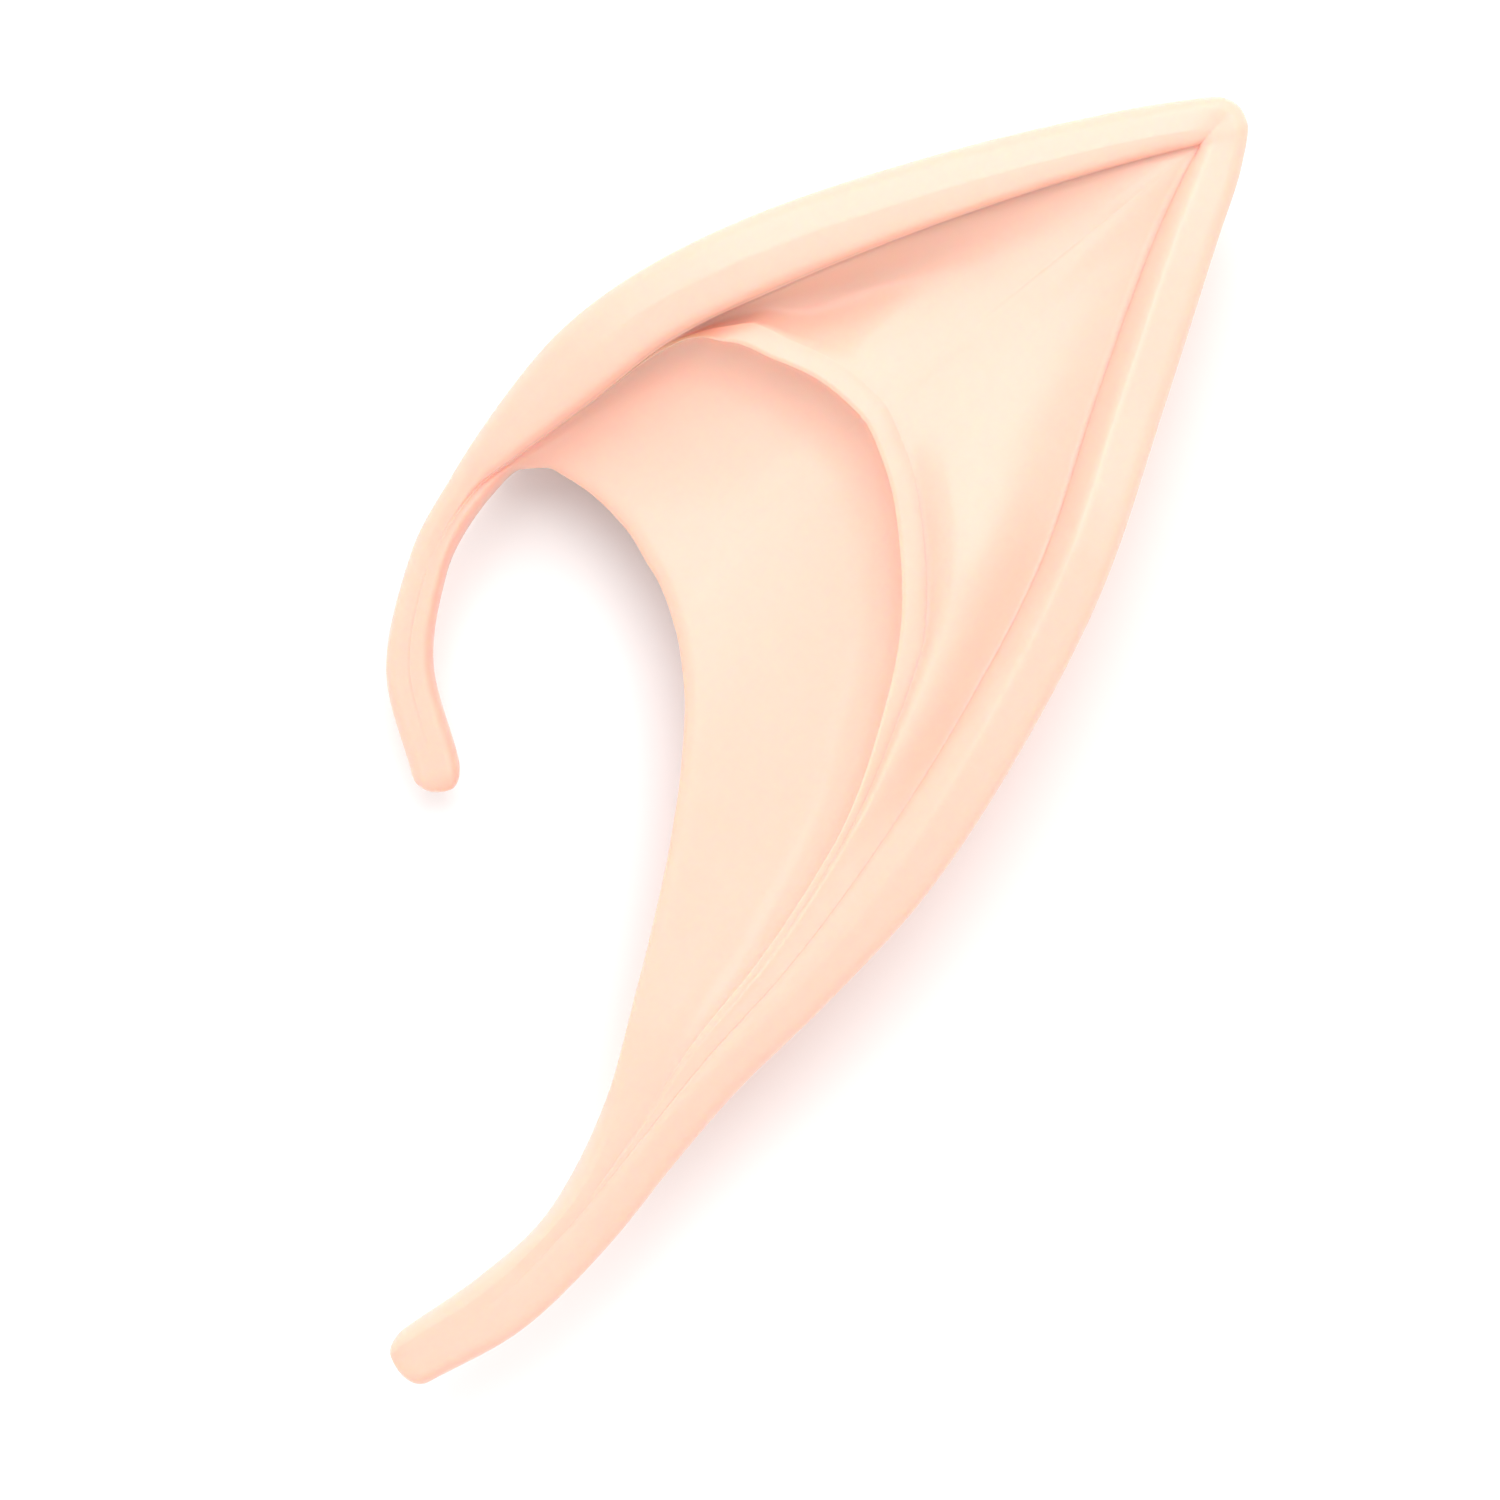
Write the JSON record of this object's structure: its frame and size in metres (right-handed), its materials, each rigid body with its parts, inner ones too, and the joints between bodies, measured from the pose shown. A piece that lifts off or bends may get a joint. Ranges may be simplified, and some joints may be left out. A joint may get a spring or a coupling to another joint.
{
  "type": "elf ear",
  "caption": "Pointed costume ear shell of soft skin-toned latex with a rolled rim, two inner folds, an open pocket behind for the wearer's own ear, and a hook and a tail",
  "frame": {"origin": "middle of the ear's outline box, on the surface that it lies on", "axes": "+X from the hook to the pointed tip's side, +Y up along the ear from the tail to the tip, +Z out of the surface, towards the carved front"},
  "size_m": [0.0806, 0.12, 0.0215],
  "materials": {
    "latex": "soft satin, pale peach, slightly translucent moulded latex"
  },
  "bodies": {
    "root": {"ear_shell": "latex"}
  },
  "joints": []
}
